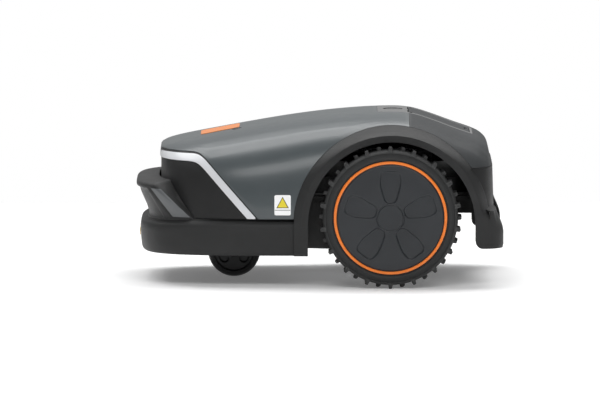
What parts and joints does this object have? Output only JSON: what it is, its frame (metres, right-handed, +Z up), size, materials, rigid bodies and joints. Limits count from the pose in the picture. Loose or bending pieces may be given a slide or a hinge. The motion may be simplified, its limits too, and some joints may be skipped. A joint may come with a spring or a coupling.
{
  "type": "robotic lawn mower",
  "caption": "Self-driving lawn mower with a floating cover, large lugged drive wheels, a front caster and a height-adjustable blade disc.",
  "frame": {"origin": "on the ground under the centre of the mower's box", "axes": "+X forward towards the bumper, +Y to the mower's left, +Z up"},
  "size_m": [0.7, 0.53, 0.323],
  "materials": {
    "hood_paint": "satin blue-grey moulded cover",
    "rear_plastic": "darker satin grey moulded cover",
    "trim_plastic": "fine-grained charcoal plastic",
    "inlay_plastic": "satin grey plastic",
    "black_plastic": "fine-grained black plastic",
    "light_diffuser": "milky light diffuser",
    "gloss_black": "gloss black panel",
    "tray_plastic": "black moulded plastic",
    "badge_orange": "plain orange badge plate",
    "label_white": "plain white film label",
    "steel": "zinc-plated steel",
    "contact_brass": "plated contact strip",
    "button_plastic": "dark push button",
    "key_plastic": "grey key cap",
    "post_rubber": "black rubber float post",
    "tub_plastic": "charcoal structural plastic",
    "lid_plastic": "grey structural plastic",
    "seal_rubber": "sealing ring",
    "battery_case": "battery casing",
    "board_green": "circuit board",
    "motor_metal": "motor can",
    "bearing_steel": "ball bearing ring",
    "bush_plastic": "white bearing plastic",
    "drum_plastic": "orange cam drum",
    "deck_plastic": "deck moulding",
    "disc_steel": "blade disc",
    "knife_steel": "sharpened knife",
    "fork_plastic": "caster fork moulding",
    "caster_rubber": "caster tread",
    "caster_hub_plastic": "caster disc",
    "tyre_rubber": "lugged tread rubber",
    "rim_plastic": "wheel rim moulding",
    "ring_orange": "orange accent ring",
    "wheel_cover_plastic": "blue-grey wheel disc"
  },
  "bodies": {
    "chassis": {"chassis_tub": "tub_plastic", "chassis_lid": "lid_plastic", "lid_gasket": "seal_rubber", "lid_screws": "steel", "battery_pack": "battery_case", "battery_door": "tub_plastic", "main_board": "board_green", "drive_motor_left": "motor_metal", "drive_motor_right": "motor_metal", "axle_bearings": "bearing_steel", "caster_bush": "bush_plastic", "guide_rods": "steel", "lift_motor": "motor_metal"},
    "left_wheel": {"tyre_left": "tyre_rubber", "rim_left": "rim_plastic", "wheel_ring_left": "ring_orange", "wheel_cover_left": "wheel_cover_plastic", "axle_left": "steel"},
    "right_wheel": {"tyre_right": "tyre_rubber", "rim_right": "rim_plastic", "wheel_ring_right": "ring_orange", "wheel_cover_right": "wheel_cover_plastic", "axle_right": "steel"},
    "caster_fork": {"caster_fork": "fork_plastic", "caster_axle": "steel"},
    "caster_wheel": {"caster_tyre": "caster_rubber", "caster_hub": "caster_hub_plastic"},
    "cutter_deck": {"deck_carriage": "deck_plastic", "blade_motor": "motor_metal"},
    "blade_disc": {"blade_shaft": "steel", "blade_disc": "disc_steel"},
    "knife_1": {"knife_1": "knife_steel"},
    "knife_2": {"knife_2": "knife_steel"},
    "knife_3": {"knife_3": "knife_steel"},
    "cam_drum": {"cam_drum": "drum_plastic"},
    "float_posts": {"float_posts": "post_rubber"},
    "cover": {"hood_shell": "hood_paint", "rear_cover": "rear_plastic", "front_bumper": "trim_plastic", "bumper_inlays": "inlay_plastic", "front_visor": "black_plastic", "light_stripe": "light_diffuser", "arch_trim_left": "trim_plastic", "arch_trim_right": "trim_plastic", "rear_apron": "black_plastic", "console_panel": "gloss_black", "display_module": "tray_plastic", "badge_plate": "badge_orange", "rain_sensor": "black_plastic", "side_labels": "label_white", "float_frame": "tray_plastic", "cover_screws": "steel", "charge_contacts": "contact_brass", "flap_pin": "steel"},
    "stop_button": {"stop_button": "button_plastic"},
    "display_flap": {"display_flap": "rear_plastic"},
    "key_1": {"key_1": "key_plastic"},
    "key_2": {"key_2": "key_plastic"},
    "key_3": {"key_3": "key_plastic"}
  },
  "joints": [
    {"name": "left_wheel_spin", "type": "hinge", "parent": "chassis", "child": "left_wheel", "pos_m": [-0.1345, 0.235, 0.135], "axis": [0, 1, 0], "continuous": true},
    {"name": "right_wheel_spin", "type": "hinge", "parent": "chassis", "child": "right_wheel", "pos_m": [-0.1345, -0.235, 0.135], "axis": [0, 1, 0], "continuous": true},
    {"name": "caster_swivel", "type": "hinge", "parent": "chassis", "child": "caster_fork", "pos_m": [0.1935, 0, 0.11], "axis": [0, 0, 1], "continuous": true},
    {"name": "caster_roll", "type": "hinge", "parent": "caster_fork", "child": "caster_wheel", "pos_m": [0.1635, 0, 0.05], "axis": [0, 1, 0], "continuous": true},
    {"name": "cutting_height", "type": "slide", "parent": "chassis", "child": "cutter_deck", "axis": [0, 0, 1], "range_m": [-0.04, 0]},
    {"name": "cam_turn", "type": "hinge", "parent": "chassis", "child": "cam_drum", "pos_m": [0.021, 0, 0.13], "axis": [0, 0, 1], "range_deg": [-360, 0]},
    {"name": "blade_spin", "type": "hinge", "parent": "cutter_deck", "child": "blade_disc", "pos_m": [-0.035, 0, 0.06], "axis": [0, 0, 1], "continuous": true},
    {"name": "knife_1_pivot", "type": "hinge", "parent": "blade_disc", "child": "knife_1", "pos_m": [-0.035, 0.088, 0.0586], "axis": [0, 0, 1], "continuous": true},
    {"name": "knife_2_pivot", "type": "hinge", "parent": "blade_disc", "child": "knife_2", "pos_m": [-0.11121, -0.044, 0.0586], "axis": [0, 0, 1], "continuous": true},
    {"name": "knife_3_pivot", "type": "hinge", "parent": "blade_disc", "child": "knife_3", "pos_m": [0.04121, -0.044, 0.0586], "axis": [0, 0, 1], "continuous": true},
    {"name": "cover_lift", "type": "slide", "parent": "chassis", "child": "float_posts", "axis": [0, 0, 1], "range_m": [0, 0.008]},
    {"name": "cover_bump", "type": "slide", "parent": "float_posts", "child": "cover", "axis": [1, 0, 0], "range_m": [-0.007, 0.007], "stiffness_N_per_m": 1500},
    {"name": "stop_press", "type": "slide", "parent": "cover", "child": "stop_button", "axis": [0, 0, -1], "range_m": [0, 0.004], "stiffness_N_per_m": 400},
    {"name": "flap_open", "type": "hinge", "parent": "cover", "child": "display_flap", "pos_m": [-0.1735, 0, 0.318], "axis": [0, 1, 0], "range_deg": [0, 95]},
    {"name": "key_1_press", "type": "slide", "parent": "cover", "child": "key_1", "axis": [0, 0, -1], "range_m": [0, 0.0015], "stiffness_N_per_m": 250},
    {"name": "key_2_press", "type": "slide", "parent": "cover", "child": "key_2", "axis": [0, 0, -1], "range_m": [0, 0.0015], "stiffness_N_per_m": 250},
    {"name": "key_3_press", "type": "slide", "parent": "cover", "child": "key_3", "axis": [0, 0, -1], "range_m": [0, 0.0015], "stiffness_N_per_m": 250}
  ],
  "couplings": [
    {"joint": "cam_turn", "follows": "cutting_height", "rad_per_m": 157.08}
  ]
}
